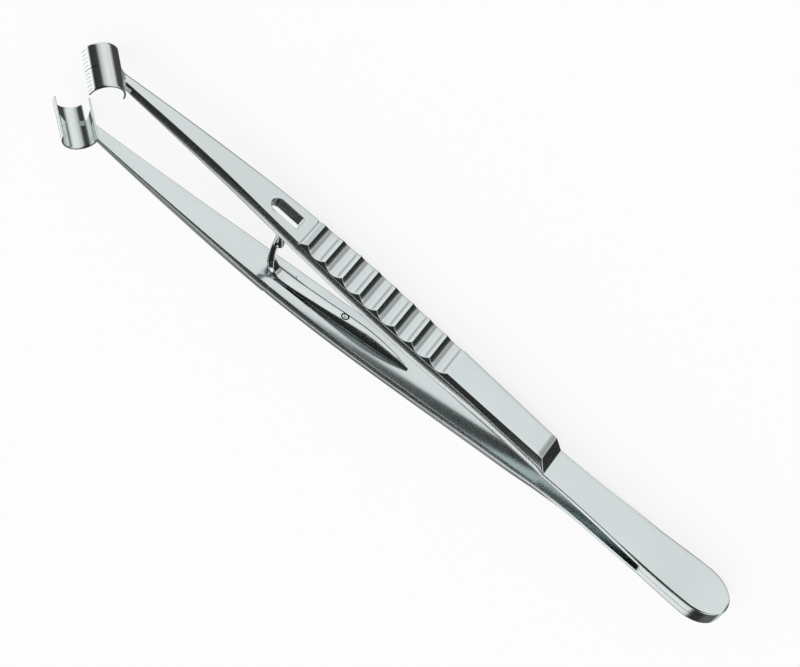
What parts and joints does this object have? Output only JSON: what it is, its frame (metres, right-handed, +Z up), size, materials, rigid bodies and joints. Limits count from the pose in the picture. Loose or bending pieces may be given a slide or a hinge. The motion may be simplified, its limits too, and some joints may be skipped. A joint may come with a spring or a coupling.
{
  "type": "bone ring holding forceps",
  "caption": "Sprung steel tweezer with ribbed grips, two canted half-tube jaws that hold a ring of bone, and a catch that snaps through a slot.",
  "frame": {"origin": "middle of the bounding box, on the surface that the forceps lies on", "axes": "+X along the arms to the welded rear end, +Y across the opening to the slotted arm, +Z up from the surface it lies on"},
  "size_m": [0.1599, 0.0216, 0.0128],
  "materials": {
    "satin_steel": "satin stainless steel, fine lengthwise grain",
    "polished_steel": "bright stainless steel tube",
    "catch_steel": "bright stainless spring steel"
  },
  "bodies": {
    "spring_body": {"spring_end": "satin_steel"},
    "slotted_side": {"slotted_arm": "satin_steel", "slotted_jaw": "polished_steel"},
    "catch_side": {"catch_arm": "satin_steel", "catch_jaw": "polished_steel", "catch_base": "catch_steel", "catch_rivet": "catch_steel"},
    "hook": {"catch_hook": "catch_steel"}
  },
  "joints": [
    {"name": "slotted_arm_flex", "type": "hinge", "parent": "spring_body", "child": "slotted_side", "pos_m": [0.0493, 0.00145, 0.00545], "axis": [0, 0, 1], "range_deg": [0, 3.2], "stiffness_Nm_per_rad": 2.8},
    {"name": "catch_arm_flex", "type": "hinge", "parent": "spring_body", "child": "catch_side", "pos_m": [0.0493, -0.00145, 0.00545], "axis": [0, 0, -1], "range_deg": [0, 3.2], "stiffness_Nm_per_rad": 2.8},
    {"name": "hook_flex", "type": "hinge", "parent": "catch_side", "child": "hook", "pos_m": [-0.02362, -0.00573, 0.00545], "axis": [0, 0, 1], "range_deg": [0, 7], "stiffness_Nm_per_rad": 0.3}
  ]
}
